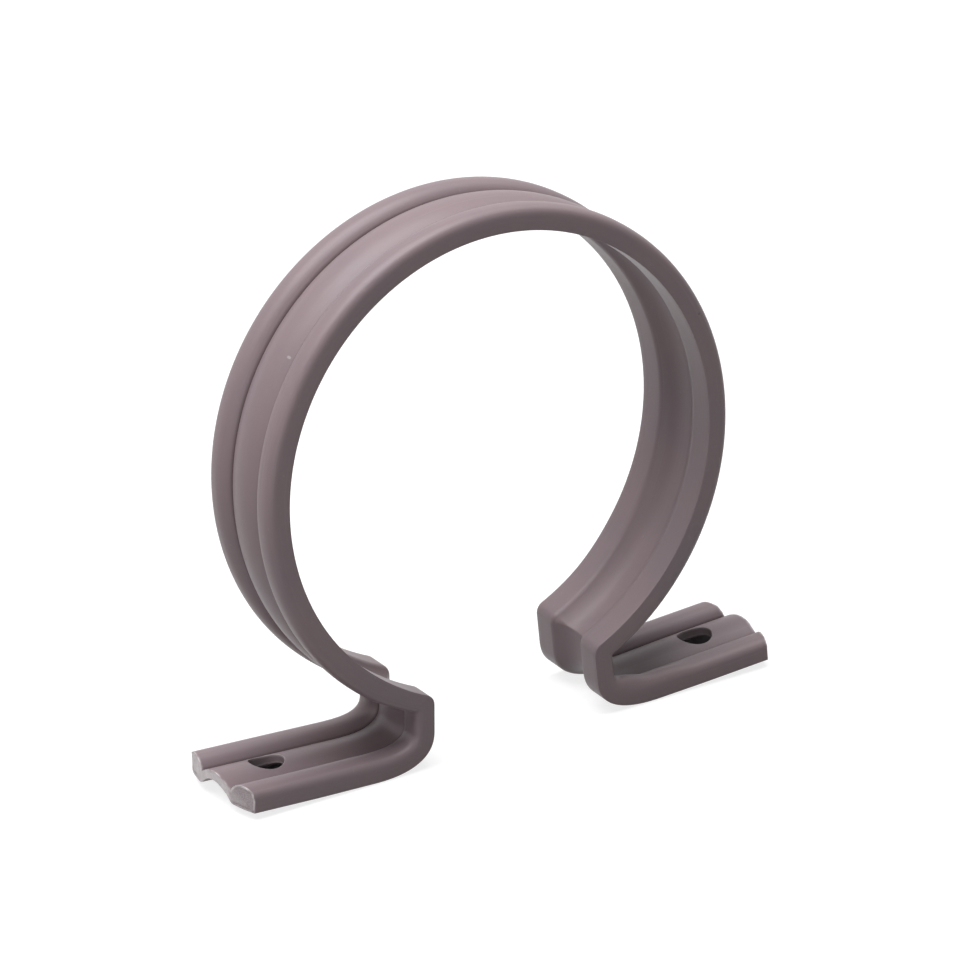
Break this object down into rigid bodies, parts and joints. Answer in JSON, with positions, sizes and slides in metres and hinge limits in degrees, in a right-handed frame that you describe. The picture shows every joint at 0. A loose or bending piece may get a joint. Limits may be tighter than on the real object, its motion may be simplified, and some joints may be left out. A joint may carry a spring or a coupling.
{
  "type": "pipe saddle clip",
  "caption": "Plastic saddle clip: a strip with two edge beads, bent round a pipe, with flat feet screwed to a wall.",
  "frame": {"origin": "centre of the pipe, midway across the strip", "axes": "+Y along the pipe, +X out along one foot, +Z from the feet toward the top of the ring"},
  "size_m": [0.1038, 0.0204, 0.0935],
  "materials": {
    "plastic": "satin taupe-grey extruded PVC"
  },
  "bodies": {
    "root": {"clip": "plastic"}
  },
  "joints": []
}
